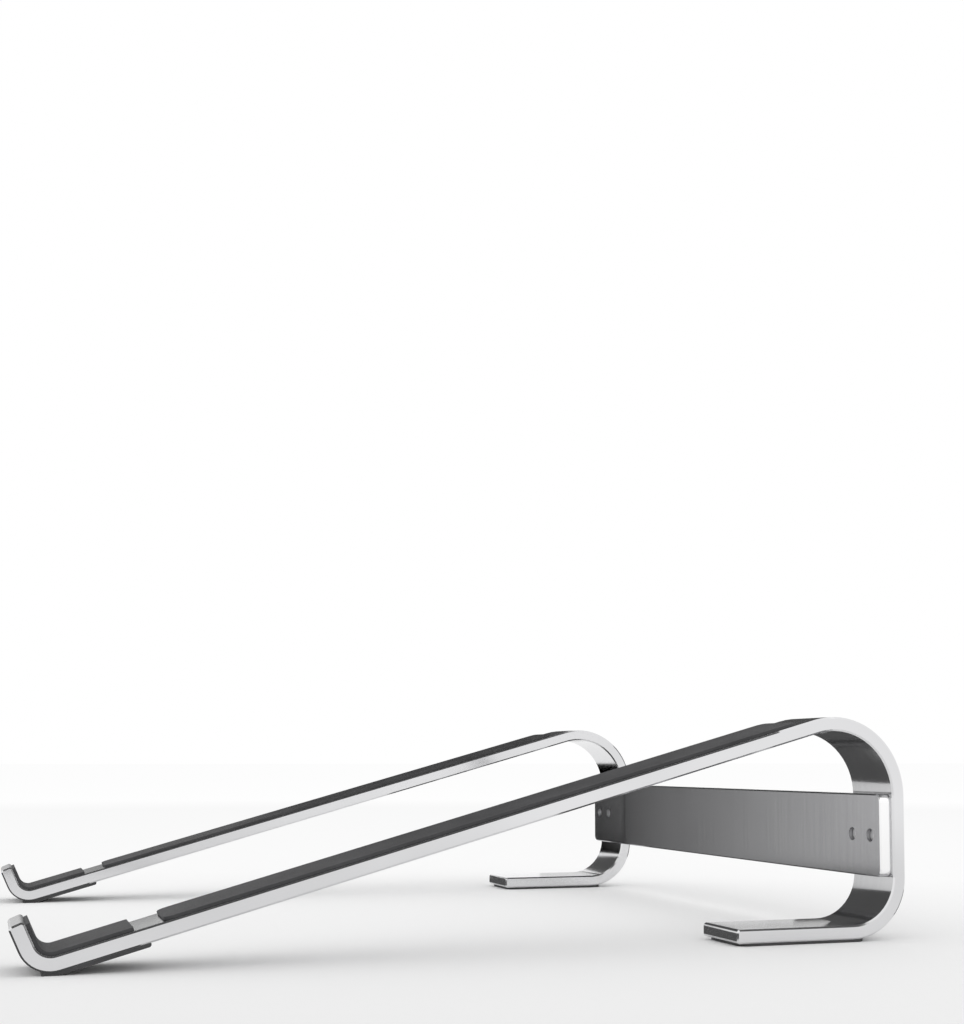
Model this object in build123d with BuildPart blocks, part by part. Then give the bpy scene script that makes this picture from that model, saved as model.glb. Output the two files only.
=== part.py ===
from build123d import *
import os
from math import asin, cos, degrees, radians, sin, tan

os.makedirs("parts", exist_ok=True)

# Laptop stand: two bent flat-bar rails, tied together at the back by a screwed cross plate.
# Millimetres. X to the right, Y to the back, Z up. The origin is on the desk, at the middle of
# the stand's width and depth.

# Driving dimensions
stand_width = 230.0
stand_depth = 260.0
bar_width = 22.5
bar_thickness = 4.2
bar_chamfer = 0.5
bar_end_radius = 1.0

ramp_angle = 15.7
hook_lean = 23.5
hook_straight = 6.8
front_bend_radius = 4.5
upper_bend_radius = 19.5
lower_bend_radius = 14.0
foot_reach = 57.0

plate_length = 227.5
plate_height = 25.1
plate_thickness = 3.7
plate_corner_radius = 2.5
plate_chamfer = 0.4
plate_bottom = 18.9

screw_spacing = 10.0
screw_tip_recess = 1.2
thread_radius = 2.0
thread_clearance = 0.02
riser_hole_radius = 2.0  # the screws' own size, without the play of a real clearance hole
sink_radius = 4.0
sink_clearance = 0.1
head_land = 0.15
socket_flats = 2.5
socket_depth = 1.5
tip_chamfer = 0.2

rubber_inset = 0.5
lining_thickness = 1.0
lining_tip_gap = 1.0
lining_on_ramp = 20.0
strip_gap = 8.0
strip_end_gap = 6.0
strip_corner_radius = 3.0
rubber_edge_radius = 0.3
sole_height = 0.8
sole_squash = 0.2
front_sole_on_ramp = 23.3
front_sole_wrap = 14.0
foot_sole_setback = 1.0
foot_sole_corner_radius = 4.0
foot_sole_past_bend = 5.0

length_tolerance = 0.01

# Derived places, in the side view (Y, Z)
half_bar = bar_thickness / 2
front_mid = front_bend_radius + half_bar
upper_mid = upper_bend_radius + half_bar
lower_mid = lower_bend_radius + half_bar
riser_back = stand_depth / 2
riser_mid = riser_back - half_bar
riser_front = riser_back - bar_thickness
foot_front = riser_back - foot_reach
rail_x = (stand_width - bar_width) / 2

hook_out = front_bend_radius + bar_thickness
front_y = -stand_depth / 2 + hook_out * cos(radians(hook_lean)) + hook_straight * sin(radians(hook_lean))
front_centre = (front_y, sole_height + hook_out)


def ramp_height(y):
    """Height of the ramp's centreline at y, on the line that touches the front bend's own centreline."""
    rise = (y - front_centre[0]) * tan(radians(ramp_angle))
    return front_centre[1] + rise - front_mid / cos(radians(ramp_angle))


upper_y = riser_mid - upper_mid
upper_centre = (upper_y, ramp_height(upper_y) - upper_mid / cos(radians(ramp_angle)))
lower_centre = (riser_mid - lower_mid, sole_height + half_bar + lower_mid)

plate_back = riser_front
plate_front = plate_back - plate_thickness
plate_middle = plate_bottom + plate_height / 2

# Directions in the side view, in degrees from +Y towards +Z
downwards = 270
hook_angle = 90 + hook_lean
ramp_normal = 90 + ramp_angle
front_start = 180 + hook_lean
front_turn = 90 + ramp_angle - hook_lean


def step(point, distance, angle):
    """The place at a distance from a point of the side view, in a given direction."""
    return Vector(point) + distance * Vector(cos(radians(angle)), sin(radians(angle)))


def rail_side(shift):
    """One long side of the rail, shifted from its centreline towards the laptop. Returns its two ends."""
    hook_bend = CenterArc(front_centre, front_mid - shift, front_start, front_turn)
    upper_bend = CenterArc(upper_centre, upper_mid + shift, ramp_normal, -ramp_normal)
    lower_bend = CenterArc(lower_centre, lower_mid + shift, 0, -90)
    hook = Line(hook_bend @ 0, step(hook_bend @ 0, hook_straight, hook_angle))
    Line(hook_bend @ 1, upper_bend @ 0)
    Line(upper_bend @ 1, lower_bend @ 0)
    foot = Line(lower_bend @ 1, (foot_front, (lower_bend @ 1).Y))
    return hook @ 1, foot @ 1


def is_bar_end(edge):
    """Whether an edge of the rail's outline is one of the two short ones across the bar."""
    return edge.geom_type == GeomType.LINE and edge.length < bar_thickness + length_tolerance


def band_side(shift, straight, start, turn, on_ramp):
    """One side of a rubber band that follows the front bend and then the ramp. Returns its two ends."""
    bend = CenterArc(front_centre, front_mid - shift, start, turn)
    ramp = Line(bend @ 1, step(bend @ 1, on_ramp, ramp_angle))
    if straight == 0:
        return bend @ 0, ramp @ 1
    hook = Line(bend @ 0, step(bend @ 0, straight, hook_angle))
    return hook @ 1, ramp @ 1


# Screw places: a pair at each end of the plate, centred where the plate covers the riser
plate_inset = (stand_width - plate_length) / 2
pair_x = (stand_width / 2 - plate_inset + stand_width / 2 - bar_width) / 2
screw_x = {
    "screw_left_outer": -pair_x - screw_spacing / 2,
    "screw_left_inner": -pair_x + screw_spacing / 2,
    "screw_right_inner": pair_x - screw_spacing / 2,
    "screw_right_outer": pair_x + screw_spacing / 2,
}
riser_back_plane = Plane(origin=(0, riser_back, plate_middle), x_dir=(-1, 0, 0), z_dir=(0, 1, 0))
plate_front_plane = Plane(origin=(0, plate_front, plate_middle), x_dir=(1, 0, 0), z_dir=(0, -1, 0))

sides = {"left": -1, "right": 1}
rubber_width = bar_width - 2 * rubber_inset

# Rails: one bent bar each, with eased edges, and two countersunk holes through the riser
for side, sign in sides.items():
    with BuildPart() as rail:
        with BuildSketch(Plane.YZ.offset(sign * rail_x - bar_width / 2)) as rail_profile:
            with BuildLine():
                under_tip, under_toe = rail_side(-half_bar)
                upper_tip, upper_toe = rail_side(half_bar)
                Line(under_tip, upper_tip)
                Line(under_toe, upper_toe)
            make_face()
            bar_ends = rail_profile.edges().filter_by(is_bar_end)
            fillet(bar_ends.vertices(), bar_end_radius)
        extrude(amount=bar_width)
        flanks = rail.faces().filter_by(Axis.X).sort_by(Axis.X)
        chamfer((flanks[0] + flanks[-1]).edges(), bar_chamfer)
        with Locations(riser_back_plane):
            with Locations(*[(-x, 0) for x in screw_x.values() if x * sign > 0]):
                CounterSinkHole(riser_hole_radius, sink_radius, depth=bar_thickness, counter_sink_angle=90)
    rail.part.label = side + "_rail"
    export_step(rail.part, "parts/" + rail.part.label + ".step")

# Cross plate: stands against the front of both risers, with four tapped holes
with BuildPart() as cross_plate:
    with BuildSketch(plate_front_plane.offset(-plate_thickness)):
        RectangleRounded(plate_length, plate_height, plate_corner_radius)
    extrude(amount=plate_thickness)
    broad_faces = cross_plate.faces().filter_by(Axis.Y)
    chamfer(broad_faces.edges(), plate_chamfer)
    with Locations(plate_front_plane):
        with Locations(*[(x, 0) for x in screw_x.values()]):
            Hole(thread_radius)
cross_plate.part.label = "cross_plate"
export_step(cross_plate.part, "parts/cross_plate.step")

# Screws: countersunk, with a hexagon socket, flush with the back of the riser
head_radius = sink_radius - head_land - sink_clearance
shank_radius = thread_radius - thread_clearance
screw_length = bar_thickness + plate_thickness - screw_tip_recess
cone_depth = head_radius - shank_radius
for name, x in screw_x.items():
    with BuildPart() as screw:
        with BuildSketch(Plane.XY):
            with BuildLine():
                Polyline(
                    (0, 0),
                    (head_radius, 0),
                    (head_radius, -head_land),
                    (shank_radius, -head_land - cone_depth),
                    (shank_radius, -screw_length + tip_chamfer),
                    (shank_radius - tip_chamfer, -screw_length),
                    (0, -screw_length),
                    close=True,
                )
            make_face()
        revolve(axis=Axis.Y)
        with BuildSketch(Plane.XZ):
            RegularPolygon(socket_flats / 2, 6, major_radius=False)
        extrude(amount=socket_depth, both=True, mode=Mode.SUBTRACT)
    screw.part.label = name
    placed_screw = screw.part.moved(Location((x, riser_back, plate_middle)))
    placed_screw.label = name
    export_step(placed_screw, "parts/" + name + ".step")

# Hook linings: rubber inside the hook, round the front bend and onto the ramp
for side, sign in sides.items():
    with BuildPart() as lining:
        with BuildSketch(Plane.YZ.offset(sign * rail_x - rubber_width / 2)):
            with BuildLine():
                rubber_run = (hook_straight - lining_tip_gap, front_start, front_turn, lining_on_ramp)
                bar_tip, bar_end = band_side(half_bar, *rubber_run)
                free_tip, free_end = band_side(half_bar + lining_thickness, *rubber_run)
                Line(bar_tip, free_tip)
                Line(bar_end, free_end)
            make_face()
        extrude(amount=rubber_width)
        flanks = lining.faces().filter_by(Axis.X)
        fillet(flanks.edges(), rubber_edge_radius)
    lining.part.label = "hook_lining_" + side
    export_step(lining.part, "parts/" + lining.part.label + ".step")

# Ramp strips: thin rubber on top of the ramp, from behind the lining to just before the upper bend
ramp_run = (upper_y - front_y) / cos(radians(ramp_angle)) - (upper_mid + front_mid) * tan(radians(ramp_angle))
strip_start = lining_on_ramp + strip_gap
strip_length = ramp_run - strip_start - strip_end_gap
strip_from_bend = strip_start + strip_length / 2
ramp_top_start = step(front_centre, front_bend_radius, ramp_angle - 90)
strip_middle = step(ramp_top_start, strip_from_bend, ramp_angle)
for side, sign in sides.items():
    ramp_top = Plane(
        origin=(sign * rail_x, strip_middle.X, strip_middle.Y),
        x_dir=(1, 0, 0),
        z_dir=(0, cos(radians(ramp_normal)), sin(radians(ramp_normal))),
    )
    with BuildPart() as strip:
        with BuildSketch(ramp_top):
            RectangleRounded(rubber_width, strip_length, strip_corner_radius)
        extrude(amount=lining_thickness)
        fillet(strip.faces().sort_by(Axis.Z)[-1].edges(), rubber_edge_radius)
    strip.part.label = "ramp_strip_" + side
    export_step(strip.part, "parts/" + strip.part.label + ".step")

# Front soles: rubber under the front bend, flattened where it stands on the desk
for side, sign in sides.items():
    with BuildPart() as front_sole:
        with BuildSketch(Plane.YZ.offset(sign * rail_x - rubber_width / 2)):
            with BuildLine():
                sole_run = (0, downwards - front_sole_wrap, ramp_angle + front_sole_wrap, front_sole_on_ramp)
                bar_start, bar_end = band_side(-half_bar, *sole_run)
                free_start, free_end = band_side(-half_bar - sole_height - sole_squash, *sole_run)
                Line(bar_start, free_start)
                Line(bar_end, free_end)
            make_face()
        extrude(amount=rubber_width)
        end_faces = front_sole.faces().sort_by(Axis.Y)
        fillet(end_faces[-1].edges().sort_by(Axis.Z)[0], sole_height)
        split(bisect_by=Plane.XY, keep=Keep.TOP)
    front_sole.part.label = "front_sole_" + side
    export_step(front_sole.part, "parts/" + front_sole.part.label + ".step")

# Foot soles: rubber under each foot, following the bar a little way up the lower bend
sole_front = foot_front + foot_sole_setback
sole_back = lower_centre[0] + foot_sole_past_bend
bend_outside = lower_bend_radius + bar_thickness
sole_rise = degrees(asin(foot_sole_past_bend / bend_outside))
for side, sign in sides.items():
    with BuildPart() as foot_sole:
        with BuildSketch(Plane.YZ.offset(sign * rail_x - rubber_width / 2)):
            with BuildLine():
                tread = Line((sole_front, 0), (sole_back, 0))
                bend_side = CenterArc(lower_centre, bend_outside, downwards, sole_rise)
                foot_side = Line(bend_side @ 0, (sole_front, sole_height))
                Line(foot_side @ 1, tread @ 0)
                Line(bend_side @ 1, tread @ 1)
            make_face()
        extrude(amount=rubber_width)
        fillet(foot_sole.edges().filter_by(Axis.Z), foot_sole_corner_radius)
        fillet(foot_sole.faces().sort_by(Axis.Z)[0].edges(), rubber_edge_radius)
    foot_sole.part.label = "foot_sole_" + side
    export_step(foot_sole.part, "parts/" + foot_sole.part.label + ".step")
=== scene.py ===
from math import radians

import bpy
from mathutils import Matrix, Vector


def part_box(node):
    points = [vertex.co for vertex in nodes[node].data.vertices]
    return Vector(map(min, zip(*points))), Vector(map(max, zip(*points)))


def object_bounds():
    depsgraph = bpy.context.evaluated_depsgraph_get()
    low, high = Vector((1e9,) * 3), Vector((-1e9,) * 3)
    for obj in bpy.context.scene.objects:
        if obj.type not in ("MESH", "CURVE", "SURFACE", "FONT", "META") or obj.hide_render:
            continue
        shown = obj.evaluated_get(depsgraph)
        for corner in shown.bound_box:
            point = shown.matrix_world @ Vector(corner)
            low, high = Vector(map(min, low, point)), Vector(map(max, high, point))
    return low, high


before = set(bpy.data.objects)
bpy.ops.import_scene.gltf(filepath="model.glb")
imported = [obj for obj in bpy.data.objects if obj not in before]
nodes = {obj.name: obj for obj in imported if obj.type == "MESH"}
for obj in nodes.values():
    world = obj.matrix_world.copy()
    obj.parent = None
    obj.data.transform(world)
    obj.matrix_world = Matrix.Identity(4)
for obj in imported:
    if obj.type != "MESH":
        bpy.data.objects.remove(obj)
cad_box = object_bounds()
scene = bpy.context.scene


# ---------------------------------------------------------------- node helpers

def new_material(name):
    """An empty node material with its shader and its object coordinates."""
    material = bpy.data.materials.new(name)
    material.use_nodes = True
    tree = material.node_tree
    tree.nodes.clear()
    output = tree.nodes.new("ShaderNodeOutputMaterial")
    shader = tree.nodes.new("ShaderNodeBsdfPrincipled")
    tree.links.new(shader.outputs["BSDF"], output.inputs["Surface"])
    place = tree.nodes.new("ShaderNodeTexCoord").outputs["Object"]
    return material, tree, shader, place


def feed(tree, socket, value):
    """Put a constant on a socket, or link another node's output to it."""
    if isinstance(value, bpy.types.NodeSocket):
        tree.links.new(value, socket)
    else:
        socket.default_value = value


def stretched(tree, place, scale):
    """Coordinates scaled by a different amount along each axis."""
    mapping = tree.nodes.new("ShaderNodeMapping")
    mapping.inputs["Scale"].default_value = scale
    tree.links.new(place, mapping.inputs["Vector"])
    return mapping.outputs["Vector"]


def noise(tree, vector, scale, detail=2.0, roughness=0.5):
    """A noise value over the given coordinates."""
    node = tree.nodes.new("ShaderNodeTexNoise")
    node.inputs["Scale"].default_value = scale
    node.inputs["Detail"].default_value = detail
    node.inputs["Roughness"].default_value = roughness
    tree.links.new(vector, node.inputs["Vector"])
    return node.outputs["Fac"]


def spread(tree, value, low, high, start=0.3, end=0.7):
    """A value from start to end spread over low to high."""
    node = tree.nodes.new("ShaderNodeMapRange")
    node.inputs["From Min"].default_value = start
    node.inputs["From Max"].default_value = end
    node.inputs["To Min"].default_value = low
    node.inputs["To Max"].default_value = high
    tree.links.new(value, node.inputs["Value"])
    return node.outputs["Result"]


def arithmetic(tree, operation, first, second=0.0):
    """One arithmetic step between two values, either of which may be a plain number."""
    node = tree.nodes.new("ShaderNodeMath")
    node.operation = operation
    feed(tree, node.inputs[0], first)
    feed(tree, node.inputs[1], second)
    return node.outputs["Value"]


def colours(tree, value, low, high):
    """A colour between low and high, chosen by value."""
    node = tree.nodes.new("ShaderNodeMix")
    node.data_type = "RGBA"
    feed(tree, node.inputs["A"], low)
    feed(tree, node.inputs["B"], high)
    tree.links.new(value, node.inputs["Factor"])
    return node.outputs["Result"]


def components(tree, vector):
    """The X, Y and Z outputs of a vector."""
    node = tree.nodes.new("ShaderNodeSeparateXYZ")
    tree.links.new(vector, node.inputs["Vector"])
    return node.outputs


def bump(tree, height, distance, strength):
    """A surface normal roughened by a height value; distance is in metres."""
    node = tree.nodes.new("ShaderNodeBump")
    node.inputs["Distance"].default_value = distance
    node.inputs["Strength"].default_value = strength
    tree.links.new(height, node.inputs["Height"])
    return node.outputs["Normal"]


# ---------------------------------------------------------------- materials

def brushed_aluminium(name, grain, dark, light, roughness, relief, anisotropy):
    """Anodised aluminium with fine straight grain, and a faint cloud in its tone.

    grain is the scale of the coordinates along each axis, small along the strokes.
    """
    material, tree, shader, place = new_material(name)
    strokes = noise(tree, stretched(tree, place, grain), scale=1.0, detail=3.0, roughness=0.65)
    speckle = noise(tree, place, scale=5200.0, detail=1.0)
    cloud = noise(tree, place, scale=22.0, detail=2.0)
    stroke_share = arithmetic(tree, "MULTIPLY", strokes, 0.75)
    cloud_share = arithmetic(tree, "MULTIPLY", cloud, 0.25)
    tone = arithmetic(tree, "ADD", stroke_share, cloud_share)
    tone_range = {"start": 0.35, "end": 0.65}
    shade = colours(tree, spread(tree, tone, low=0, high=1, **tone_range), dark, light)
    polish = spread(tree, tone, low=roughness[0], high=roughness[1], **tone_range)
    height = arithmetic(tree, "ADD", strokes, arithmetic(tree, "MULTIPLY", speckle, 0.6))
    tree.links.new(shade, shader.inputs["Base Color"])
    tree.links.new(polish, shader.inputs["Roughness"])
    tree.links.new(bump(tree, height, relief, strength=0.5), shader.inputs["Normal"])
    shader.inputs["Metallic"].default_value = 1.0
    shader.inputs["Anisotropic"].default_value = anisotropy
    return material, tree, shader, place


def rail_material():
    """Satin anodised bar, with its grain along the bar round every bend."""
    return brushed_aluminium(
        "rail_aluminium",
        grain=(2600.0, 9.0, 9.0),
        dark=(0.71, 0.71, 0.72, 1),
        light=(0.79, 0.79, 0.80, 1),
        roughness=(0.09, 0.14),
        relief=1e-6,
        anisotropy=0.3,
    )[0]


def plate_material():
    """Brushed plate, its strokes upright and its two cut ends bright."""
    material, tree, shader, place = brushed_aluminium(
        "plate_aluminium",
        grain=(3200.0, 40.0, 14.0),
        dark=(0.43, 0.43, 0.44, 1),
        light=(0.485, 0.485, 0.495, 1),
        roughness=(0.16, 0.22),
        relief=2.5e-6,
        anisotropy=0.6,
    )
    normal = tree.nodes.new("ShaderNodeNewGeometry").outputs["True Normal"]
    turned_sideways = arithmetic(tree, "ABSOLUTE", components(tree, normal)["X"])
    faces_sideways = spread(tree, turned_sideways, low=0, high=1, start=0.4, end=0.5)
    from_middle = arithmetic(tree, "ABSOLUTE", components(tree, place)["X"])
    near_end = spread(tree, from_middle, low=0, high=1, start=0.1100, end=0.1105)
    end_face = arithmetic(tree, "MULTIPLY", faces_sideways, near_end)
    brushed = shader.inputs["Base Color"].links[0].from_socket
    bright = (0.99, 0.99, 0.99, 1)
    tree.links.new(colours(tree, end_face, brushed, bright), shader.inputs["Base Color"])
    return material


def screw_material():
    """Zinc-plated steel with a faint mottle and a fine rough surface."""
    material, tree, shader, place = new_material("screw_steel")
    mottle = noise(tree, place, scale=900.0, detail=3.0)
    fine = noise(tree, place, scale=4500.0, detail=1.0)
    tone = spread(tree, mottle, low=0, high=1)
    shade = colours(tree, tone, (0.66, 0.66, 0.67, 1), (0.82, 0.82, 0.82, 1))
    tree.links.new(shade, shader.inputs["Base Color"])
    tree.links.new(spread(tree, mottle, low=0.45, high=0.60), shader.inputs["Roughness"])
    tree.links.new(bump(tree, fine, 6e-6, strength=0.5), shader.inputs["Normal"])
    shader.inputs["Metallic"].default_value = 1.0
    return material


def rubber_material(name, dark, light, grain):
    """Matte rubber with a fine moulded grain and a little dust."""
    material, tree, shader, place = new_material(name)
    pores = noise(tree, place, scale=grain, detail=2.0)
    dust = noise(tree, place, scale=60.0, detail=4.0, roughness=0.6)
    tone = spread(tree, dust, low=0, high=1, start=0.35, end=0.75)
    tree.links.new(colours(tree, tone, dark, light), shader.inputs["Base Color"])
    tree.links.new(spread(tree, pores, low=0.62, high=0.80), shader.inputs["Roughness"])
    tree.links.new(bump(tree, pores, 4e-5, strength=0.4), shader.inputs["Normal"])
    return material


LINING = {"dark": (0.030, 0.030, 0.032, 1), "light": (0.050, 0.050, 0.053, 1), "grain": 2600.0}
SOLE = {"dark": (0.035, 0.035, 0.036, 1), "light": (0.060, 0.060, 0.062, 1), "grain": 1800.0}

materials = {
    "rail": rail_material(),
    "cross_plate": plate_material(),
    "screw": screw_material(),
    "hook_lining": rubber_material("lining_rubber", **LINING),
    "ramp_strip": rubber_material("strip_rubber", **LINING),
    "front_sole": rubber_material("sole_rubber", **SOLE),
    "foot_sole": rubber_material("foot_rubber", **SOLE),
}
for node_name, node in nodes.items():
    for part, material in materials.items():
        if part in node_name:
            node.data.materials.clear()
            node.data.materials.append(material)


# ---------------------------------------------------------------- stage helpers

WHITE = (1, 1, 1, 1)
BLACK = (0, 0, 0, 1)
# The cards glow only in reflections and so paint reflections: dark ones at DARK, lighter ones at a higher
# glow.
DARK = 0.08      # how brightly a dark card glows; white is 1
LOW = 0.0005     # height of a card that lies on the floor
OVER = cad_box[1].z + 0.006     # height of a card just above the stand
HOOK_OVER = 0.10        # height of the cards above the hooks
LOUVRE_SLOPE = 1.2      # rise over run of the ceiling's strips
FLOOR_HALF = 30.0


def plain_sheet(name, corners):
    """A flat sheet through the given corners."""
    mesh = bpy.data.meshes.new(name)
    mesh.from_pydata([Vector(corner) for corner in corners], [], [range(len(corners))])
    sheet = bpy.data.objects.new(name, mesh)
    scene.collection.objects.link(sheet)
    return sheet


def floor():
    """A pale floor with painted shade: a little greyer towards the right front and near the stand, and
    backdrop white far away.
    """
    half = FLOOR_HALF
    sheet = plain_sheet("floor", [(-half, -half, 0), (half, -half, 0), (half, half, 0), (-half, half, 0)])
    material, tree, shader, place = new_material("floor_white")
    along = tree.nodes.new("ShaderNodeVectorMath")
    along.operation = "DOT_PRODUCT"
    along.inputs[1].default_value = (-0.9, 0.44, 0)
    tree.links.new(place, along.inputs[0])
    distance = tree.nodes.new("ShaderNodeVectorMath")
    distance.operation = "LENGTH"
    tree.links.new(place, distance.inputs[0])
    # painted shade: the floor's colour greys towards the right front and near the stand
    across = spread(tree, along.outputs["Value"], low=0.80, high=0.93, start=-0.30, end=0.20)
    away = spread(tree, distance.outputs["Value"], low=0.80, high=0.98, start=0.30, end=1.6)
    floor_tone_with_painted_shade = arithmetic(tree, "MAXIMUM", across, away)
    tree.links.new(colours(tree, floor_tone_with_painted_shade, BLACK, WHITE), shader.inputs["Base Color"])
    shader.inputs["Roughness"].default_value = 0.9
    shader.inputs["Specular IOR Level"].default_value = 0.0
    sheet.data.materials.append(material)


def card(name, corners, shade=DARK, fade=None):
    """A glowing card that only reflections see, and only from its front: it paints a reflection into the
    shiny metal, a dark one at a low glow.

    Its front is the side from which the corners run anticlockwise. With fade, its glow grows
    evenly from shade at the first y to full white at the second.
    """
    sheet = plain_sheet(name, corners)
    material = bpy.data.materials.new(name)
    material.use_nodes = True
    tree = material.node_tree
    tree.nodes.clear()
    glow = tree.nodes.new("ShaderNodeEmission")
    glow.inputs["Color"].default_value = WHITE
    glow.inputs["Strength"].default_value = shade
    if fade:
        place = tree.nodes.new("ShaderNodeTexCoord").outputs["Object"]
        fading = spread(tree, components(tree, place)["Y"], shade, 1.0, *fade)
        tree.links.new(fading, glow.inputs["Strength"])
    mix = tree.nodes.new("ShaderNodeMixShader")
    clear = tree.nodes.new("ShaderNodeBsdfTransparent")
    output = tree.nodes.new("ShaderNodeOutputMaterial")
    tree.links.new(tree.nodes.new("ShaderNodeNewGeometry").outputs["Backfacing"], mix.inputs["Fac"])
    tree.links.new(glow.outputs["Emission"], mix.inputs[1])
    tree.links.new(clear.outputs["BSDF"], mix.inputs[2])
    tree.links.new(mix.outputs["Shader"], output.inputs["Surface"])
    sheet.data.materials.append(material)
    sheet.visible_camera = False
    sheet.visible_diffuse = False
    sheet.visible_shadow = False
    sheet.visible_transmission = False


def lying_card(name, x_span, y_span, left_height, right_height, facing_up=True, shade=DARK, fade=None):
    """A card lying over the floor, its left and right edges at the given heights."""
    (x0, x1), (y0, y1) = x_span, y_span
    corners = [(x0, y0, left_height), (x1, y0, right_height), (x1, y1, right_height), (x0, y1, left_height)]
    if not facing_up:
        corners.reverse()
    card(name, corners, shade, fade)


def wall_card(name, x, y_span, z_span, shade=DARK, fade=None):
    """An upright card across x, with its front to the right."""
    (y0, y1), (z0, z1) = y_span, z_span
    card(name, [(x, y0, z0), (x, y1, z0), (x, y1, z1), (x, y0, z1)], shade, fade)


def dark_reflection_strips(name, x_span, left_y_span, right_y_span, count):
    """Glowing dark strips just over the stand, which only reflections see, and so paint dark reflections;
    each rises to the right.

    Light that leaves the metal towards the left always meets their fronts, and light that leaves
    it towards the right meets their clear backs unless it climbs steeply.
    """
    (x0, x1), (near0, far0), (near1, far1) = x_span, left_y_span, right_y_span
    rise = LOUVRE_SLOPE * (x1 - x0) / count
    for i in range(count):
        edges = []
        for step, height in ((i, OVER), (i + 1, OVER + rise)):
            share = step / count
            x = x0 + share * (x1 - x0)
            near = near0 + share * (near1 - near0)
            far = far0 + share * (far1 - far0)
            edges.append([(x, near, height), (x, far, height)])
        (left_near, left_far), (right_near, right_far) = edges
        card(f"{name}_{i}", [left_near, left_far, right_far, right_near])


def even_dark_reflection_strips(name, x_span, y_span, count):
    """Painted dark reflection strips, as deep at their left as at their right."""
    dark_reflection_strips(name, x_span, y_span, y_span, count)


def softbox(name, place, target, size, power):
    """A rectangular area light at place, turned to target."""
    data = bpy.data.lights.new(name, "AREA")
    data.shape = "RECTANGLE"
    data.size, data.size_y = size
    data.energy = power
    lamp = bpy.data.objects.new(name, data)
    lamp.location = place
    lamp.rotation_euler = (Vector(target) - Vector(place)).to_track_quat("-Z", "Y").to_euler()
    scene.collection.objects.link(lamp)


# ---------------------------------------------------------------- stage

floor()

world = bpy.data.worlds.new("studio")
world.use_nodes = True
world.node_tree.nodes["Background"].inputs["Color"].default_value = WHITE
world.node_tree.nodes["Background"].inputs["Strength"].default_value = 1.0
scene.world = world

right_low, right_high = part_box("right_rail")
left_low, left_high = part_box("left_rail")

# Dark strips lying between the rails, which paint a dark reflection into the underside of the upper bends.
# They slope to the right, so what looks along the floor from the left only meets their clear backs.
strip_width = 0.0185
strip_height = 0.009
strips_start = 0.104
strips_per_span = 2
strip_y_spans = [
    (0.118, 0.17),
    (0.118, 0.17),
    (0.03, 0.18),
    (0.03, 0.20),
    (0.05, 0.22),
    (0.16, 0.25),
    (0.18, 0.28),
]
for i in range(strips_per_span * len(strip_y_spans)):
    strip_right = strips_start - i * strip_width
    strip_x_span = (strip_right - strip_width, strip_right)
    lying_card(f"painted_reflection_under_{i}", strip_x_span, strip_y_spans[i // strips_per_span], strip_height, LOW)

# Strips over the stand which paint dark reflections into the lower bends and the eased edges, and cards far
# behind them which paint a dark reflection over a light grey one
even_dark_reflection_strips("painted_reflection_over", (left_high.x, 0.035), (-0.05, 0.17), count=6)
even_dark_reflection_strips("painted_reflection_over_edge", (0.035, 0.095), (0.11, 0.135), count=3)
even_dark_reflection_strips("painted_reflection_left", (-0.30, left_low.x - 0.003), (-0.03, 0.17), count=8)
even_dark_reflection_strips("painted_reflection_right", (right_high.x + 0.003, 0.14), (0.09, 0.20), count=1)
dark_reflection_strips("painted_reflection_band", (-0.34, 0.02), (0.332, 0.392), (0.10, 0.162), count=16)
far_x = -0.45
wall_y_span = (0.22, 0.52)
wall_break = 0.09
wall_card("painted_reflection_wall", far_x, wall_y_span, (wall_break, 0.16))
wall_card("grey_painted_reflection", far_x, wall_y_span, (0, wall_break), shade=0.75)

# Small cards round each foot's front end and each hook, which paint dark reflections into their eased edges
for side, edge in {"right": right_high.x, "left": left_high.x}.items():
    foot_end = (edge - 0.065, edge - 0.001)
    foot_corner = (edge + 0.001, edge + 0.035)
    hook_front = (edge - 0.03, edge + 0.02)
    hook_under = (edge - 0.03, edge)
    hook_over = (edge, edge + 0.022)
    hook_inner = (edge + 0.0005, edge + 0.015)
    lying_card(f"painted_reflection_foot_end_{side}", foot_end, (0.045, 0.0715), LOW, LOW, shade=0.09)
    lying_card(f"painted_reflection_foot_corner_{side}", foot_corner, (0.02, 0.06), LOW, LOW)
    lying_card(f"painted_reflection_hook_front_{side}", hook_front, (-0.19, -0.1305), LOW, LOW)
    lying_card(f"painted_reflection_hook_under_{side}", hook_under, (-0.1305, -0.095), LOW, LOW)
    lying_card(f"painted_reflection_hook_over_{side}", hook_over, (-0.18, -0.10), HOOK_OVER, HOOK_OVER, facing_up=False)
    lying_card(f"painted_reflection_hook_inner_{side}", hook_inner, (-0.115, 0.09), OVER, OVER, facing_up=False)

# A fading card beside the far rail, which paints a darkening reflection into the cross plate and hides that
# rail from it
wall_card("fade_near", left_high.x + 0.0075, (-0.03, 0.12), (0, OVER), fade=(0.128, -0.06))

# A fading card far to the left and one on the floor before it, which paint a reflection into the plate's
# far end, black fading to white
far_fade = (-0.02, -0.26)
far_y_span = (-0.32, 0.09)
wall_card("fade_far", far_x, far_y_span, (0, 0.10), shade=0.0, fade=far_fade)
lying_card("fade_floor", (far_x, left_low.x - 0.05), far_y_span, LOW, LOW, shade=0.0, fade=far_fade)

softbox("key", place=(0.9, 0.9, 1.4), target=(0, 0, 0.03), size=(1.4, 1.2), power=2.2)

# ---------------------------------------------------------------- camera

camera_data = bpy.data.cameras.new("camera")
camera_data.lens = 53.26
camera_data.sensor_width = 36
camera_data.shift_y = 0.1494
camera_data.clip_start = 0.01
camera = bpy.data.objects.new("camera", camera_data)
camera.location = (0.515, -0.1356, 0.0541)
camera.rotation_euler = (radians(93.627), 0, 1.2557)
scene.collection.objects.link(camera)
scene.camera = camera

scene.view_settings.view_transform = "Standard"
